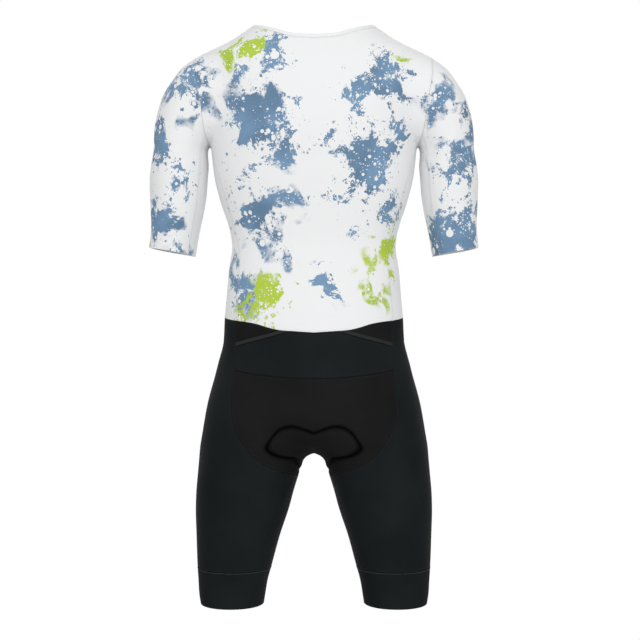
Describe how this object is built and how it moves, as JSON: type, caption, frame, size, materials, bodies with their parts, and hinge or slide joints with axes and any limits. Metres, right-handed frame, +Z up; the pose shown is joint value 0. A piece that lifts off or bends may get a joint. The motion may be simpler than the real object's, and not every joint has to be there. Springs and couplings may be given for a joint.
{
  "type": "triathlon suit",
  "caption": "Short-sleeved triathlon suit with knee-length legs, front zip, back pocket, seat pad and elastic leg bands, filled out as worn.",
  "frame": {"origin": "midway between the points where the neck binding crosses the shoulders, from which the worn suit hangs", "axes": "+Z up, +X towards the wearer's right, +Y towards the wearer's front; the back faces -Y"},
  "size_m": [0.5424, 0.2352, 0.9493],
  "materials": {
    "white_cloth": "smooth stretch knit, white with a blue and lime splatter print",
    "black_cloth": "smooth stretch knit, cool black",
    "seat_cloth": "matt stretch knit, warm black",
    "elastic": "matt elastic",
    "pad_foam": "brushed cover over foam",
    "zip_tape": "woven tape",
    "zip_metal": "satin"
  },
  "bodies": {
    "suit": {"back_body": "white_cloth", "front_right": "white_cloth", "front_left": "white_cloth", "side_panel_right": "white_cloth", "side_panel_left": "white_cloth", "sleeve_right": "white_cloth", "sleeve_left": "white_cloth", "sleeve_under_right": "white_cloth", "sleeve_under_left": "white_cloth", "neck_binding": "white_cloth", "zip_tape_right": "zip_tape", "zip_tape_left": "zip_tape", "zip_slider": "zip_metal", "lower_back": "seat_cloth", "back_pocket": "black_cloth", "pocket_binding_right": "elastic", "pocket_binding_left": "elastic", "seat_panel": "seat_cloth", "seat_pad": "pad_foam", "leg_right": "black_cloth", "leg_left": "black_cloth", "leg_band_right": "elastic", "leg_band_left": "elastic"},
    "pull": {"zip_pull": "zip_metal"}
  },
  "joints": [
    {"name": "pull_turn", "type": "hinge", "parent": "suit", "child": "pull", "pos_m": [0, 0.09131, -0.07553], "axis": [1, 0, 0], "range_deg": [0, 150]}
  ]
}
